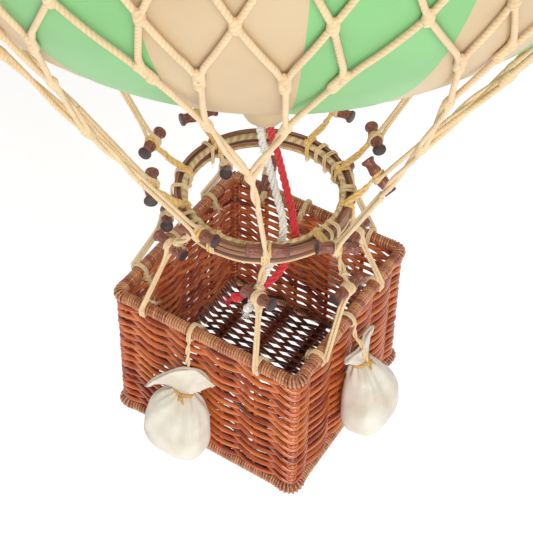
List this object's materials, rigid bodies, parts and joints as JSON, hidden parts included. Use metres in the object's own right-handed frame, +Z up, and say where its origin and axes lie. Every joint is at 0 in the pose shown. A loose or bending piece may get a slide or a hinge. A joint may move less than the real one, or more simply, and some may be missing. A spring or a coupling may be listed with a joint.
{
  "type": "decorative hanging model hot air balloon",
  "caption": "Decorative hanging model of a hot air balloon: striped round envelope, cord rigging with wooden toggles, load hoop, woven square basket and swinging sandbags.",
  "frame": {"origin": "where the hanging loop bears on its hook, at the inner top of the loop", "axes": "+Z up, +X and +Y along the basket's walls; the front wall is at -Y"},
  "size_m": [0.3194, 0.3194, 0.5626],
  "materials": {
    "envelope": "smooth satin cloth in light green and cream gores",
    "envelope_neck": "smooth cream cloth",
    "cord": "twisted cream cotton cord",
    "toggle_wood": "stained dark red-brown, satin",
    "hoop_rattan": "bundled flat rattan, stained brown",
    "wicker": "lacquered orange-brown willow and cane",
    "floor_cane": "dark open weave",
    "calico": "unbleached calico",
    "red_cotton": "laid cotton rope, red",
    "white_cotton": "soft laid cotton rope, off-white"
  },
  "bodies": {
    "balloon": {"envelope_shell": "envelope", "envelope_neck": "envelope_neck", "crown_ring": "cord", "hanging_loop": "cord", "net_leg_01": "cord", "net_leg_02": "cord", "net_leg_03": "cord", "net_leg_04": "cord", "net_leg_05": "cord", "net_leg_06": "cord", "net_leg_07": "cord", "net_leg_08": "cord", "net_leg_09": "cord", "net_leg_10": "cord", "upper_toggle_01": "toggle_wood", "upper_toggle_02": "toggle_wood", "upper_toggle_03": "toggle_wood", "upper_toggle_04": "toggle_wood", "upper_toggle_05": "toggle_wood", "upper_toggle_06": "toggle_wood", "upper_toggle_07": "toggle_wood", "upper_toggle_08": "toggle_wood", "upper_toggle_09": "toggle_wood", "upper_toggle_10": "toggle_wood", "load_hoop": "hoop_rattan", "basket_line_1": "cord", "basket_line_2": "cord", "basket_line_3": "cord", "basket_line_4": "cord", "basket_line_5": "cord", "basket_line_6": "cord", "basket_line_7": "cord", "basket_line_8": "cord", "lower_toggle_1": "toggle_wood", "lower_toggle_2": "toggle_wood", "lower_toggle_3": "toggle_wood", "lower_toggle_4": "toggle_wood", "lower_toggle_5": "toggle_wood", "lower_toggle_6": "toggle_wood", "lower_toggle_7": "toggle_wood", "lower_toggle_8": "toggle_wood", "basket_rim": "wicker", "foot_border": "wicker", "basket_floor": "floor_cane", "corner_post_1": "wicker", "corner_post_2": "wicker", "corner_post_3": "wicker", "corner_post_4": "wicker", "basket_wall_front": "wicker", "basket_wall_right": "wicker", "basket_wall_back": "wicker", "basket_wall_left": "wicker", "red_rope": "red_cotton", "white_rope": "white_cotton"},
    "sandbag_front": {"sandbag_front": "calico"},
    "sandbag_right": {"sandbag_right": "calico"},
    "sandbag_back": {"sandbag_back": "calico"},
    "sandbag_left": {"sandbag_left": "calico"}
  },
  "joints": [
    {"name": "sandbag_front_swing", "type": "hinge", "parent": "balloon", "child": "sandbag_front", "pos_m": [-0.006, -0.0495, -0.476], "axis": [-1, 0, 0], "range_deg": [0, 80]},
    {"name": "sandbag_right_swing", "type": "hinge", "parent": "balloon", "child": "sandbag_right", "pos_m": [0.0495, -0.004, -0.476], "axis": [0, -1, 0], "range_deg": [0, 80]},
    {"name": "sandbag_back_swing", "type": "hinge", "parent": "balloon", "child": "sandbag_back", "pos_m": [-0.005, 0.0495, -0.476], "axis": [1, 0, 0], "range_deg": [0, 80]},
    {"name": "sandbag_left_swing", "type": "hinge", "parent": "balloon", "child": "sandbag_left", "pos_m": [-0.0495, -0.005, -0.476], "axis": [0, 1, 0], "range_deg": [0, 80]}
  ]
}
